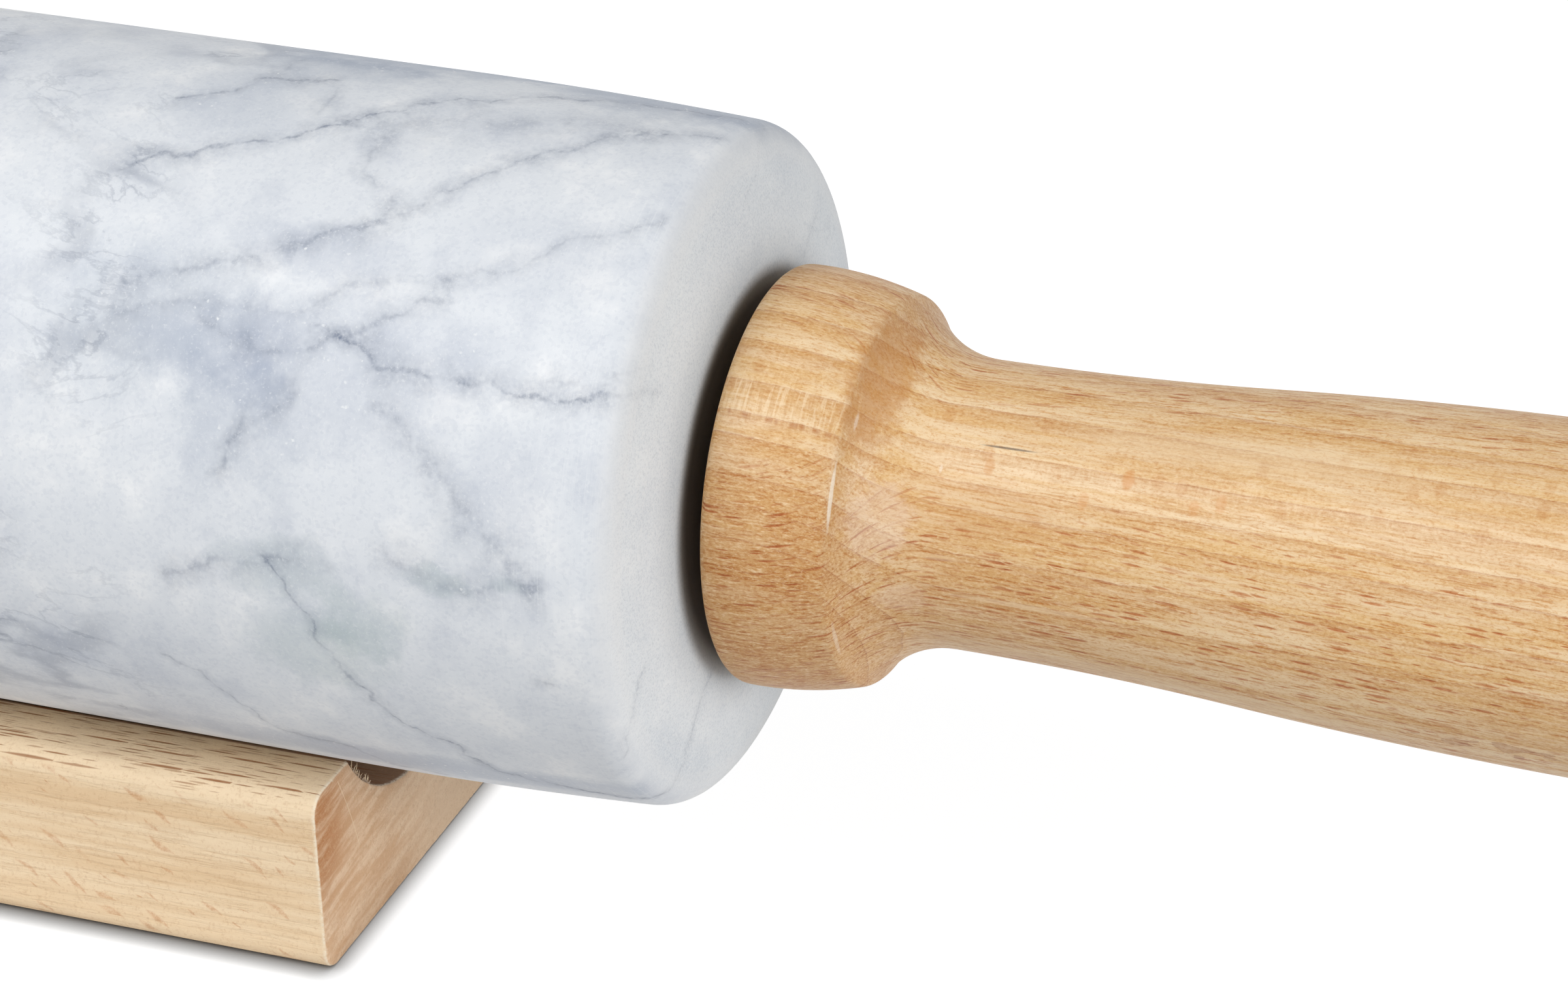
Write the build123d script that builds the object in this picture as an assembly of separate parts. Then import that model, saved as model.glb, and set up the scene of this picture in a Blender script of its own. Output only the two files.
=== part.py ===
from build123d import *
import math
import os

# A marble rolling pin lying in a grooved wooden cradle, in millimetres.
# The origin is under the middle of the cradle, on the surface that it stands on.
# +X runs along the pin towards its right end, +Y points away from the viewer and +Z points up.

# Roller
ROLLER_DIAMETER = 60.0
ROLLER_LENGTH = 254.0
CROWN_LENGTH = 31.0
CROWN_DROP = 0.9
FACE_FALL = 2.0
FACE_FLAT_RADIUS = 13.0
RIM_ROUND = 3.0
THROUGH_BORE = 13.0

# Axle rod and its threaded ends
AXLE_DIAMETER = 10.0
THREAD_DIAMETER = 8.0
THREAD_LENGTH = 28.0
THREAD_CHAMFER = 0.8

# Plain bearings
BUSHING_DIAMETER = 18.0
BUSHING_DEPTH = 18.0
BUSHING_FLANGE_DIAMETER = 24.0
BUSHING_FLANGE = 1.0
BUSHING_CHAMFER = 0.4

# Thrust washers
WASHER_DIAMETER = 20.0
WASHER_THICKNESS = 0.7

# Threaded inserts
INSERT_DIAMETER = 12.0
INSERT_LENGTH = 30.0

# Clearances
RUNNING_CLEARANCE = 0.05
THREAD_CLEARANCE = 0.04
PRESS_CLEARANCE = 0.02
THRUST_CLEARANCE = 0.3
WASHER_CLEARANCE = 0.1
REST_CLEARANCE = 0.3

# Turned handle, measured along the axis from its collar face
HANDLE_LENGTH = 99.5
COLLAR_FACE_RADIUS = 17.8
COLLAR_BULGE = 0.45
COLLAR_LENGTH = 10.4
COLLAR_RIDGE_RADIUS = 16.5
COLLAR_CHAMFER = 0.5
NECK_POSITION = 18.0
NECK_RADIUS = 12.15
GRIP_SWELL_POSITION = 78.0
GRIP_SWELL_RADIUS = 14.4

# Where the grip turns from hollow to full, as a share of the way from neck to swell
GRIP_TURN_SHARE = 0.4

# Cradle
STAND_LENGTH = 186.4
STAND_WIDTH = 40.4
STAND_HEIGHT = 17.6
STAND_EDGE_ROUND = 2.0
GROOVE_RADIUS = 14.0
GROOVE_DEPTH = 8.2

# Arcs that turn by more than this many degrees are cut as straight runs, which stray this far at most
GENTLE_TURN = 12.0
RUN_ALLOWANCE = 0.2

# One overrun for every cut that leaves a face, and how near two places count as one
CUT_OVERRUN = 1.0
SAME_PLACE = 0.001

# Worked out from the sizes above
ROLLER_RADIUS = ROLLER_DIAMETER / 2
AXLE_RADIUS = AXLE_DIAMETER / 2
THREAD_RADIUS = THREAD_DIAMETER / 2
INSERT_RADIUS = INSERT_DIAMETER / 2
BUSHING_RADIUS = BUSHING_DIAMETER / 2
ROLLER_END = ROLLER_LENGTH / 2
FLANGE_FACE = ROLLER_END + BUSHING_FLANGE
WASHER_FACE = FLANGE_FACE + THRUST_CLEARANCE
HANDLE_FACE = WASHER_FACE + WASHER_THICKNESS
GROOVE_CENTRE_HEIGHT = STAND_HEIGHT - GROOVE_DEPTH + GROOVE_RADIUS
GROOVE_HALF_WIDTH = math.sqrt(GROOVE_RADIUS**2 - (GROOVE_CENTRE_HEIGHT - STAND_HEIGHT) ** 2)
RIM_DISTANCE = ROLLER_RADIUS + REST_CLEARANCE
AXIS_HEIGHT = STAND_HEIGHT + math.sqrt(RIM_DISTANCE**2 - GROOVE_HALF_WIDTH**2)


def rod_along_x(radius, start, end):
    """A round bar on the pin's own axis between two places along it."""
    return Pos((start + end) / 2) * Rot(Y=90) * Cylinder(radius, end - start)


def light_runs(edge):
    """A tight arc as straight runs that stay near it. Lines and gentle arcs stay as they are."""
    turn = (edge % 0).get_angle(edge % 1)
    if turn < GENTLE_TURN:
        return [edge]
    bulge = edge.length * math.radians(turn) / 8
    count = math.ceil(math.sqrt(bulge / RUN_ALLOWANCE))
    points = [edge @ (step / count) for step in range(count + 1)]
    return [Line(start, end) for start, end in zip(points, points[1:])]


def turned(edges):
    """A solid turned about the X axis from the edges that close its half section."""
    return revolve(make_face(edges), Axis.X)


def outer_edge_at(shape, place):
    """The widest circular edge of a turned shape at one place along the X axis."""
    rings = shape.edges().filter_by(GeomType.CIRCLE)
    rings = rings.filter_by(lambda ring: abs(ring.arc_center.X - place) < SAME_PLACE)
    return rings.sort_by(SortBy.RADIUS)[-1]


def marble_roller():
    """Straight in the middle, slightly crowned near the ends, with softly domed end faces."""
    side_end = ROLLER_END - CROWN_LENGTH
    corner_x = ROLLER_END - FACE_FALL
    corner_radius = ROLLER_RADIUS - CROWN_DROP
    section = [
        Line((-side_end, ROLLER_RADIUS), (side_end, ROLLER_RADIUS)),
        Line((-ROLLER_END, 0), (ROLLER_END, 0)),
    ]
    for side in (-1, 1):
        corner = (side * corner_x, corner_radius)
        flat_edge = (side * ROLLER_END, FACE_FLAT_RADIUS)
        section.append(TangentArc((side * side_end, ROLLER_RADIUS), corner, tangent=(side, 0)))
        section.append(TangentArc(flat_edge, corner, tangent=(0, 1)))
        section.append(Line(flat_edge, (side * ROLLER_END, 0)))
    section = make_face(section)
    rims = section.vertices().filter_by(lambda corner: abs(corner.Y - corner_radius) < SAME_PLACE)
    section = fillet(rims, RIM_ROUND)
    roller = turned([run for edge in section.edges() for run in light_runs(edge)])
    roller -= rod_along_x(THROUGH_BORE / 2, -ROLLER_END - CUT_OVERRUN, ROLLER_END + CUT_OVERRUN)
    seat_radius = BUSHING_RADIUS + PRESS_CLEARANCE
    for side in (-1, 1):
        inner = side * (ROLLER_END - BUSHING_DEPTH)
        outer = side * (ROLLER_END + CUT_OVERRUN)
        roller -= rod_along_x(seat_radius, min(inner, outer), max(inner, outer))
    return roller


def bushing():
    """Flanged bearing for the right end: its sleeve fills the roller's counterbore."""
    sleeve_end = ROLLER_END - BUSHING_DEPTH + PRESS_CLEARANCE
    body = rod_along_x(BUSHING_RADIUS, sleeve_end, ROLLER_END)
    body = chamfer(outer_edge_at(body, sleeve_end), BUSHING_CHAMFER)
    body += rod_along_x(BUSHING_FLANGE_DIAMETER / 2, ROLLER_END, FLANGE_FACE)
    bore_start = sleeve_end - CUT_OVERRUN
    return body - rod_along_x(AXLE_RADIUS + RUNNING_CLEARANCE, bore_start, FLANGE_FACE + CUT_OVERRUN)


def washer():
    """Thrust washer for the right end: it stays against the handle's collar."""
    ring = rod_along_x(WASHER_DIAMETER / 2, WASHER_FACE, HANDLE_FACE)
    hole = AXLE_RADIUS + WASHER_CLEARANCE
    return ring - rod_along_x(hole, WASHER_FACE - CUT_OVERRUN, HANDLE_FACE + CUT_OVERRUN)


def axle_rod():
    """Rod as long as the space between the handles, with a thinner threaded end at each side."""
    thread_end = HANDLE_FACE + THREAD_LENGTH
    rod = rod_along_x(AXLE_RADIUS, -HANDLE_FACE, HANDLE_FACE)
    rod += rod_along_x(THREAD_RADIUS, -thread_end, thread_end)
    ends = [outer_edge_at(rod, -thread_end), outer_edge_at(rod, thread_end)]
    return chamfer(ends, THREAD_CHAMFER)


def insert():
    """Threaded sleeve for the right handle, flush with the collar's face."""
    insert_end = HANDLE_FACE + INSERT_LENGTH
    sleeve = rod_along_x(INSERT_RADIUS, HANDLE_FACE, insert_end)
    bore = THREAD_RADIUS + THREAD_CLEARANCE
    return sleeve - rod_along_x(bore, HANDLE_FACE - CUT_OVERRUN, insert_end + CUT_OVERRUN)


def handle():
    """Right handle: bulged collar, sharp ridge, hollow cove, neck, swelling grip, rounded nose."""
    face_edge = (HANDLE_FACE, COLLAR_FACE_RADIUS - COLLAR_CHAMFER)
    collar_start = (HANDLE_FACE + COLLAR_CHAMFER, COLLAR_FACE_RADIUS)
    ridge = (HANDLE_FACE + COLLAR_LENGTH, COLLAR_RIDGE_RADIUS)
    collar_middle_radius = (COLLAR_FACE_RADIUS + COLLAR_RIDGE_RADIUS) / 2 + COLLAR_BULGE
    collar_middle = (HANDLE_FACE + COLLAR_LENGTH / 2, collar_middle_radius)
    neck = (HANDLE_FACE + NECK_POSITION, NECK_RADIUS)
    swell = (HANDLE_FACE + GRIP_SWELL_POSITION, GRIP_SWELL_RADIUS)
    turn = tuple(a + (b - a) * GRIP_TURN_SHARE for a, b in zip(neck, swell))
    tip = (HANDLE_FACE + HANDLE_LENGTH, 0)
    nose_reach = HANDLE_LENGTH - GRIP_SWELL_POSITION
    section = [
        Line((HANDLE_FACE, 0), face_edge),
        Line(face_edge, collar_start),
        *light_runs(ThreePointArc(collar_start, collar_middle, ridge)),
        *light_runs(TangentArc(neck, ridge, tangent=(-1, 0))),
        TangentArc(neck, turn, tangent=(1, 0)),
        TangentArc(swell, turn, tangent=(-1, 0)),
        *light_runs(EllipticalCenterArc((swell[0], 0), nose_reach, GRIP_SWELL_RADIUS, arc_size=90)),
        Line(tip, (HANDLE_FACE, 0)),
    ]
    socket_end = HANDLE_FACE + INSERT_LENGTH + PRESS_CLEARANCE
    return turned(section) - rod_along_x(INSERT_RADIUS + PRESS_CLEARANCE, HANDLE_FACE - CUT_OVERRUN, socket_end)


def stand():
    """Cradle block: rounded along its four long edges, with one round groove for the roller."""
    block = Pos(Z=STAND_HEIGHT / 2) * Box(STAND_LENGTH, STAND_WIDTH, STAND_HEIGHT)
    block = fillet(block.edges().filter_by(Axis.X), STAND_EDGE_ROUND)
    reach = STAND_LENGTH / 2 + CUT_OVERRUN
    return block - Pos(Z=GROOVE_CENTRE_HEIGHT) * rod_along_x(GROOVE_RADIUS, -reach, reach)


def save(name, shape):
    shape.label = name
    export_step(shape, f"parts/{name}.step")


def main():
    os.makedirs("parts", exist_ok=True)
    on_axis = Pos(Z=AXIS_HEIGHT)
    save("marble_roller", on_axis * marble_roller())
    save("axle_rod", on_axis * axle_rod())
    for name, make in (("bushing", bushing), ("washer", washer), ("insert", insert), ("handle", handle)):
        right_piece = make()
        save(f"right_{name}", on_axis * right_piece)
        save(f"left_{name}", on_axis * mirror(right_piece, about=Plane.YZ))
    save("stand", stand())
    print("axis height", round(AXIS_HEIGHT, 3), "groove half width", round(GROOVE_HALF_WIDTH, 3))
    print("overall length", round(2 * (HANDLE_FACE + HANDLE_LENGTH), 3))


main()
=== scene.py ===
import math
import random
from collections import namedtuple

import bmesh
import bpy
from mathutils import Matrix, Vector


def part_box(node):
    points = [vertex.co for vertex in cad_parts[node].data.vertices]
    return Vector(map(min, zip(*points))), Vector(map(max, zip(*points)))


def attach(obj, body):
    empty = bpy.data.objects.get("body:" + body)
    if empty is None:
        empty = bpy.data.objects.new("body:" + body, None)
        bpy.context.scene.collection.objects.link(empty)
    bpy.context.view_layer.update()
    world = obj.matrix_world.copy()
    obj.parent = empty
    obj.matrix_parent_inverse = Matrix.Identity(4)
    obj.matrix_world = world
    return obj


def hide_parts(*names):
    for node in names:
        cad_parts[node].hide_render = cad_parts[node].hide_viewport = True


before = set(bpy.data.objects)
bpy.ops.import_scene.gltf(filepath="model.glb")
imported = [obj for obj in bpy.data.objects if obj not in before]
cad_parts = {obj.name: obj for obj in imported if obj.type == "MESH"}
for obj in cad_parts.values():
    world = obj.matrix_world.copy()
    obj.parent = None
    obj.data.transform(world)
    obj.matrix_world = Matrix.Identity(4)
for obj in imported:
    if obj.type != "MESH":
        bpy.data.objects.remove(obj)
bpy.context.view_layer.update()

# Units
MM = 0.001

# Camera, found from the outlines in the photograph, which is 2400 by 1511. Angles are in degrees.
IMAGE_WIDTH_PX = 2400
CAMERA_YAW = 22.568
CAMERA_PITCH = 28.811
CAMERA_ROLL = -2.396
CAMERA_PLACE = Vector((297.65, -404.61, 284.21)) * MM
FOCAL_LENGTH_PX = 9104
SENSOR_WIDTH_MM = 36.0

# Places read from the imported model
roller_low, roller_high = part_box("marble_roller")
handle_low, handle_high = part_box("right_handle")
insert_low, insert_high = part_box("right_insert")
_, stand_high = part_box("stand")
ROLLER_END = roller_high.x
ROLLER_RADIUS = (roller_high.z - roller_low.z) / 2
AXIS_HEIGHT = (roller_high.z + roller_low.z) / 2
HANDLE_FACE = handle_low.x
HANDLE_TIP = handle_high.x
COLLAR_RADIUS = (handle_high.z - handle_low.z) / 2
SOCKET_RADIUS = (insert_high.z - insert_low.z) / 2 + 0.02 * MM
SOCKET_END = insert_high.x + 0.02 * MM

# Roller
CROWN_LENGTH = 31.0 * MM
CROWN_DROP = 0.9 * MM
FACE_FALL = 2.0 * MM
FACE_FLAT_RADIUS = 13.0 * MM
RIM_REACH = 2.3 * MM
SEAT_RADIUS = 9.02 * MM
SEAT_DEPTH = 18.0 * MM
THROUGH_BORE_RADIUS = 6.5 * MM

# Turned handle, along the axis from its collar face
COLLAR_LENGTH = 10.4 * MM
COLLAR_RIDGE_RADIUS = 16.5 * MM
COLLAR_BULGE = 0.45 * MM
COLLAR_EDGE_REACH = 0.8 * MM
RIDGE_REACH = 0.4 * MM
NECK_POSITION = 18.0 * MM
NECK_RADIUS = 12.15 * MM
GRIP_SWELL_POSITION = 78.0 * MM
GRIP_SWELL_RADIUS = 14.4 * MM
GRIP_TURN_SHARE = 0.4

# Cradle
GROOVE_RADIUS = 15.0 * MM
GROOVE_DEPTH = 7.7 * MM
GROOVE_CENTRE_HEIGHT = stand_high.z - GROOVE_DEPTH + GROOVE_RADIUS
STAND_EDGE_ROUND = 2.0 * MM
STAND_POINT_GAP = 0.45 * MM

# Its broken end edges: how far in from the end and how deep, as shares of the break, and the fray on top
STAND_END_BREAK = 0.22 * MM
END_BREAKS = ((0.0, 1.0), (0.5, 0.25), (1.4, 0.0))
FRAY = 0.07 * MM

# Meshes
LATHE_SEGMENTS = 160
ARC_STEPS = 14
CORNER_STEPS = 6
CROWN_STEPS = 20
RIM_STEPS = 10
STAND_EDGE_STEPS = 8
GROOVE_STEPS = 48
SHARP_ANGLE = math.radians(38)

# For the fray of the block's ends. The torn fibres take the next number.
SEED = 11


# Colours are written as they look, from 0 to 255
def tone(red, green, blue):
    """A picture colour as the linear colour that a shader takes."""
    linear = []
    for part in (red, green, blue):
        share = part / 255
        linear.append(share / 12.92 if share <= 0.04045 else ((share + 0.055) / 1.055) ** 2.4)
    return (*linear, 1.0)


class Value:
    """One output of a node. A sum that is written with it becomes a Math node in the same tree."""

    def __init__(self, nodes, socket):
        self.nodes = nodes
        self.socket = socket

    def __add__(self, other):
        return self.nodes.math("ADD", self, other)

    def __sub__(self, other):
        return self.nodes.math("SUBTRACT", self, other)

    def __rsub__(self, other):
        return self.nodes.math("SUBTRACT", other, self)

    def __mul__(self, other):
        return self.nodes.math("MULTIPLY", self, other)

    def __truediv__(self, other):
        return self.nodes.math("DIVIDE", self, other)

    def __pow__(self, other):
        return self.nodes.math("POWER", self, other)

    def __neg__(self):
        return self * -1.0

    def __abs__(self):
        return self.nodes.math("ABSOLUTE", self)


# A Voronoi pattern: how far the nearest cell's middle is, that cell's own random shares, and its middle
Cells = namedtuple("Cells", "distance picks middle")


class Nodes:
    """A node tree under construction. Its methods add nodes and return their outputs as values."""

    def __init__(self, owner, output_kind):
        owner.use_nodes = True
        self.owner = owner
        self.tree = owner.node_tree
        self.tree.nodes.clear()
        self.output = self.tree.nodes.new(output_kind)

    def node(self, kind, inputs=None, **settings):
        made = self.tree.nodes.new(kind)
        for name, value in settings.items():
            setattr(made, name, value)
        for name, value in (inputs or {}).items():
            self.feed(made.inputs[name], value)
        return made

    def feed(self, socket, value):
        if isinstance(value, Value):
            self.tree.links.new(value.socket, socket)
        else:
            socket.default_value = value

    def read(self, made, *names):
        """One output of a node as a value, or several as a list of values."""
        values = [Value(self, made.outputs[name]) for name in names]
        return values if len(values) > 1 else values[0]

    def show(self, shader):
        self.tree.links.new(shader.outputs[0], self.output.inputs["Surface"])

    def math(self, operation, first, second=0.0, clamp=False):
        made = self.node("ShaderNodeMath", operation=operation, use_clamp=clamp)
        for socket, value in zip(made.inputs, (first, second)):
            self.feed(socket, value)
        return self.read(made, 0)

    def ramp(self, value, start, end, low=0.0, high=1.0):
        """Smoothly from low to high while value goes from start to end."""
        inputs = {"Value": value, "From Min": start, "From Max": end, "To Min": low, "To Max": high}
        return self.read(self.node("ShaderNodeMapRange", inputs, interpolation_type="SMOOTHSTEP"), "Result")

    def mix(self, share, first, second, blend="MIX"):
        """Two colours mixed. The sockets for colours have no names of their own in this node."""
        inputs = {0: share, 6: first, 7: second}
        return self.read(self.node("ShaderNodeMix", inputs, data_type="RGBA", blend_type=blend), 2)

    def noise(self, place, scale, detail=2.0, roughness=0.5, distortion=0.0, output="Fac"):
        inputs = {"Vector": place, "Scale": scale, "Detail": detail}
        inputs |= {"Roughness": roughness, "Distortion": distortion}
        return self.read(self.node("ShaderNodeTexNoise", inputs), output)

    def channels(self, colour):
        return self.read(self.node("ShaderNodeSeparateColor", {"Color": colour}), 0, 1, 2)

    def cells(self, place, scale=1.0, randomness=1.0, dimensions="3D"):
        taken, given = ("W", "W") if dimensions == "1D" else ("Vector", "Position")
        inputs = {taken: place, "Scale": scale, "Randomness": randomness}
        made = self.node("ShaderNodeTexVoronoi", inputs, voronoi_dimensions=dimensions)
        distance, colour, middle = self.read(made, "Distance", "Color", given)
        return Cells(distance, self.channels(colour), middle)

    def curve(self, value, points, smooth=True):
        """A curve, or straight runs, through points whose two shares both run from 0 to 1."""
        made = self.node("ShaderNodeFloatCurve")
        line = made.mapping.curves[0]
        made.mapping.extend = "HORIZONTAL"
        for _ in points[2:]:
            line.points.new(0.5, 0.5)
        for place, (across, up) in zip(line.points, sorted(points)):
            place.location = (across, up)
            place.handle_type = "AUTO" if smooth else "VECTOR"
        made.mapping.update()
        self.feed(made.inputs["Value"], value)
        return self.read(made, "Value")

    def place(self):
        """Millimetres along the pin, towards the back and up, from the middle of the pin's axis."""
        here = self.read(self.node("ShaderNodeTexCoord"), "Object")
        inputs = {"Vector": here, "Location": (0, 0, -AXIS_HEIGHT / MM), "Scale": (1 / MM, 1 / MM, 1 / MM)}
        return self.read(self.node("ShaderNodeMapping", inputs), "Vector")

    def parts(self, place):
        return self.read(self.node("ShaderNodeSeparateXYZ", {"Vector": place}), 0, 1, 2)

    def joined(self, first, second, third):
        return self.read(self.node("ShaderNodeCombineXYZ", {"X": first, "Y": second, "Z": third}), 0)

    def vector_math(self, operation, first, second):
        return self.read(self.node("ShaderNodeVectorMath", {0: first, 1: second}, operation=operation), 0)

    def scaled(self, place, factors):
        return self.vector_math("MULTIPLY", place, factors)

    def degrees_from_front(self, y, z):
        """Degrees round the pin's axis: 0 at the front, 90 at the top."""
        return self.math("DEGREES", self.math("ARCTAN2", z, -y))

    def bump(self, height, strength, distance):
        inputs = {"Height": height, "Strength": strength, "Distance": distance}
        return self.read(self.node("ShaderNodeBump", inputs), 0)

    def looking_rays(self):
        """1 for rays that only look: from the camera, off something glossy or through something clear."""
        path = self.node("ShaderNodeLightPath")
        camera, glossy, through = self.read(path, "Is Camera Ray", "Is Glossy Ray", "Is Transmission Ray")
        return self.math("MAXIMUM", self.math("MAXIMUM", camera, glossy), through)


class Material(Nodes):
    """The nodes of one material, with the colour that has been painted so far."""

    def __init__(self, name):
        super().__init__(bpy.data.materials.new(name), "ShaderNodeOutputMaterial")
        self.colour = None

    def paint(self, share, tint, blend="MIX"):
        self.colour = self.mix(share, self.colour, tint, blend)

    def surface(self, **inputs):
        named = {name.replace("_", " "): value for name, value in inputs.items()}
        self.show(self.node("ShaderNodeBsdfPrincipled", named))
        return self.owner


# Marble. Veins are placed as they lie in the photograph: millimetres from the right end along the
# roller, and degrees round it from the front, 90 being the top. Millimetres below zero are on the end face.
VEIN_ALONG_START = -20.0
VEIN_ALONG_SPAN = 80.0
VEIN_AROUND_START = -90.0
VEIN_AROUND_SPAN = 270.0

# Veins that run along the roller: (core width, halo width, core depth, halo depth), points (along, around)
LONG_VEINS = (
    ((0.33, 2.2, 0.28, 0.22), (
        (2, 110), (16, 103), (20, 100), (24, 95), (27, 92), (30, 87), (32, 84), (36, 78), (42, 72),
        (52, 64),
    )),
    ((0.39, 2.0, 0.25, 0.26), (
        (36.5, 94), (37.5, 94), (39.5, 93), (41.5, 92), (43.5, 91), (45, 87), (50, 80),
    )),
    ((0.44, 2.4, 0.15, 0.26), (
        (1, 97), (7, 93), (10, 90), (13, 84), (15, 81), (17.5, 77), (20, 72), (22, 68), (25, 62),
        (28, 59), (31, 57), (34.5, 52), (38, 50), (48, 44),
    )),
    ((0.39, 1.9, 0.12, 0.17), (
        (1, 71), (2.5, 70), (4.7, 67), (8.6, 64), (10.6, 61), (12, 58), (15.3, 55), (20.4, 52),
        (26.5, 49), (31, 44), (38, 44), (48, 38),
    )),
    ((1.32, 5.2, 0.09, 0.17), (
        (6, 94), (11, 93), (15.4, 92), (18, 89), (21.5, 87), (26.4, 85), (30, 82), (36, 80),
    )),
    ((0.5, 2.2, 0.19, 0.22), (
        (17, 51), (19, 50), (21, 47), (22.4, 45), (23.6, 44), (26, 42), (30, 38), (34, 38), (40, 42),
    )),
    ((0.35, 2.1, 0.26, 0.26), (
        (-7, 43), (-0.3, 39), (2.7, 38), (4.4, 37), (6, 36), (7.4, 36), (9.2, 37), (15.6, 37),
        (17.5, 38), (20, 37), (22, 38), (25, 40), (30, 44),
    )),
    ((0.44, 1.8, 0.13, 0.17), (
        (-4, 46), (-2.3, 45), (2.2, 42), (5.2, 41), (8.5, 38),
    )),
    ((0.66, 3.0, 0.17, 0.26), (
        (28, 32), (29.4, 31), (31.4, 29), (32.7, 27), (33.6, 24), (34.6, 21), (37, 15),
    )),
    ((0.88, 3.5, 0.11, 0.22), (
        (5, 5), (9, 10), (11.2, 13), (13.1, 16), (14.7, 19), (16.1, 22), (17.8, 25), (19.4, 28),
        (24, 34),
    )),
    ((0.55, 2.8, 0.12, 0.22), (
        (6, 6), (7.7, 6), (11.2, 5), (13.7, 4), (15.1, 5), (16.9, 6), (18.6, 7), (22, 9),
    )),
    ((0.44, 2.5, 0.17, 0.22), (
        (24, 5), (27, 5), (29.6, 5), (32.2, 3), (34.5, 2), (42, -3),
    )),
    ((0.28, 1.4, 0.23, 0.17), (
        (18, -51), (19, -50), (22, -49), (25.4, -48), (27.3, -42), (28.7, -39), (32, -38.5),
        (34.2, -37), (36, -32), (37.3, -27), (44, -18),
    )),
    ((0.31, 1.6, 0.5, 0.28), (
        (-14, -51), (-9.5, -50), (-5, -51), (-2.3, -52), (0.1, -51), (1.7, -48.5), (4.5, -48),
        (7.2, -47), (9.4, -45), (11.5, -42),
    )),
    ((0.55, 2.0, 0.17, 0.15), (
        (-13, 131), (-11, 133), (-7, 138), (-4.7, 140), (-2, 142),
    )),
    ((0.33, 1.5, 0.17, 0.15), (
        (4.5, -14), (5, -13), (6.3, -12), (7.7, -12), (8.5, -11),
    )),
)

# Veins that run round the roller, with the same four values and the same points
ROUND_VEINS = (
    ((0.33, 1.8, 0.22, 0.22), (
        (36.5, 80), (36.5, 82), (36.4, 86), (36.6, 90), (37.3, 94),
    )),
    ((0.33, 1.6, 0.15, 0.17), (
        (44, 91), (43.4, 93), (42.9, 97), (42.4, 101), (42, 106),
    )),
    ((0.39, 2.0, 0.12, 0.21), (
        (25, 61), (25.7, 63), (26.3, 67), (28.5, 69), (29.5, 74), (29.4, 79), (30.7, 83),
    )),
    ((0.24, 1.5, 0.33, 0.2), (
        (32, 7), (30.8, 3), (29.7, 1), (28.6, -3), (27.3, -6), (26.6, -10), (26, -12), (25.2, -16),
        (24, -19), (23, -23), (21, -26), (19, -29), (17.3, -32), (15.8, -37), (14, -41), (11.8, -44),
        (9, -47),
    )),
    ((0.26, 1.6, 0.42, 0.32), (
        (2, -33), (1, -30), (-1.7, -23), (-3.3, -19), (-4.7, -17), (-6, -12),
    )),
    ((0.24, 1.1, 0.17, 0.12), (
        (-6, 92), (-4.7, 98), (-3.6, 102), (-1.2, 106), (0.5, 112), (1.5, 117),
    )),
)

# Clouded patches, and patches of painted shade: middle (along, around), half sizes in millimetres, depth,
# share of green in the grey
CLOUDS_AND_SHADE = (
    ((37, 37), (8.0, 4.6), 0.42, 0.0),
    ((30, 55), (9.0, 3.0), 0.34, 0.0),
    ((34, 24), (6.0, 7.0), 0.30, 0.1),
    ((20, 88), (12.0, 4.0), 0.1, 0.0),
    ((43, 84), (8.0, 7.0), 0.24, 0.1),
    ((15.5, 5), (3.4, 1.5), 0.34, 0.8),
    ((9.5, 6), (2.2, 1.1), 0.30, 0.8),
    ((30, 3), (6.0, 3.2), 0.36, 0.6),
    ((23, -5), (5.0, 4.0), 0.36, 0.8),
    ((27, -11), (7.0, 5.0), 0.32, 0.8),
    ((14, 8), (6.0, 5.0), 0.16, 0.2),
    ((10, 21), (5.0, 5.0), 0.24, 0.0),
    ((0, 95), (7.0, 9.0), 0.06, 0.0),
    ((25, 36), (12.0, 8.0), 0.26, 0.0),
    ((44, 40), (10.0, 8.0), 0.30, 0.2),
    ((14, 40), (6.0, 3.0), 0.12, 0.0),
    # Painted shade: the two patches at 117 and 118 degrees darken the back of the roller, the long one at -43
    # degrees its underside
    ((10, 117), (16.0, 9.0), 0.9, 0.1),
    ((36, 118), (16.0, 9.0), 0.9, 0.1),
    ((24, -43), (28.0, 3.2), 0.55, 0.1),
    ((-2, -48), (4.5, 11.0), 0.6, 0.1),
    ((10, 60), (10.0, 5.0), 0.16, 0.0),
    ((38, 101), (9.0, 4.5), 0.4, 0.1),
    ((-7, 88), (6.0, 12.0), 0.4, 0.1),
    ((-9, 25), (4.0, 8.0), 0.2, 0.0),
)

MARBLE_WHITE = tone(224, 228, 233)
MARBLE_MILK = tone(238, 240, 242)
VEIN_GREY = tone(112, 122, 142)
CLOUD_AND_SHADE_BLUE = tone(166, 175, 193)
CLOUD_AND_SHADE_GREEN = tone(156, 176, 176)
FACE_TINT = tone(242, 250, 255)
# Painted shade on the end face by the handle's collar
GAP_SHADE_GREY = tone(74, 68, 64)

# What every vein's widths and core depth are multiplied by, and how its ends fade, as a share of a span
CORE_SPREAD = 1.25
CORE_SHARE = 0.9
HALO_SPREAD = 1.15
VEIN_FADE = 0.02

# Where the placed veins give way to those made by noise, and the side that they are placed on, as a
# direction (towards the back, up) from the axis
PLACED_VEINS_FADE = (38.0, 50.0)
VIEWER_SIDE = (-0.86, 0.5)

# One degree round the roller's side, in millimetres
DEGREE_MM = math.radians(ROLLER_RADIUS / MM)
MARBLE_RELIEF = 0.05 * MM


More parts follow.
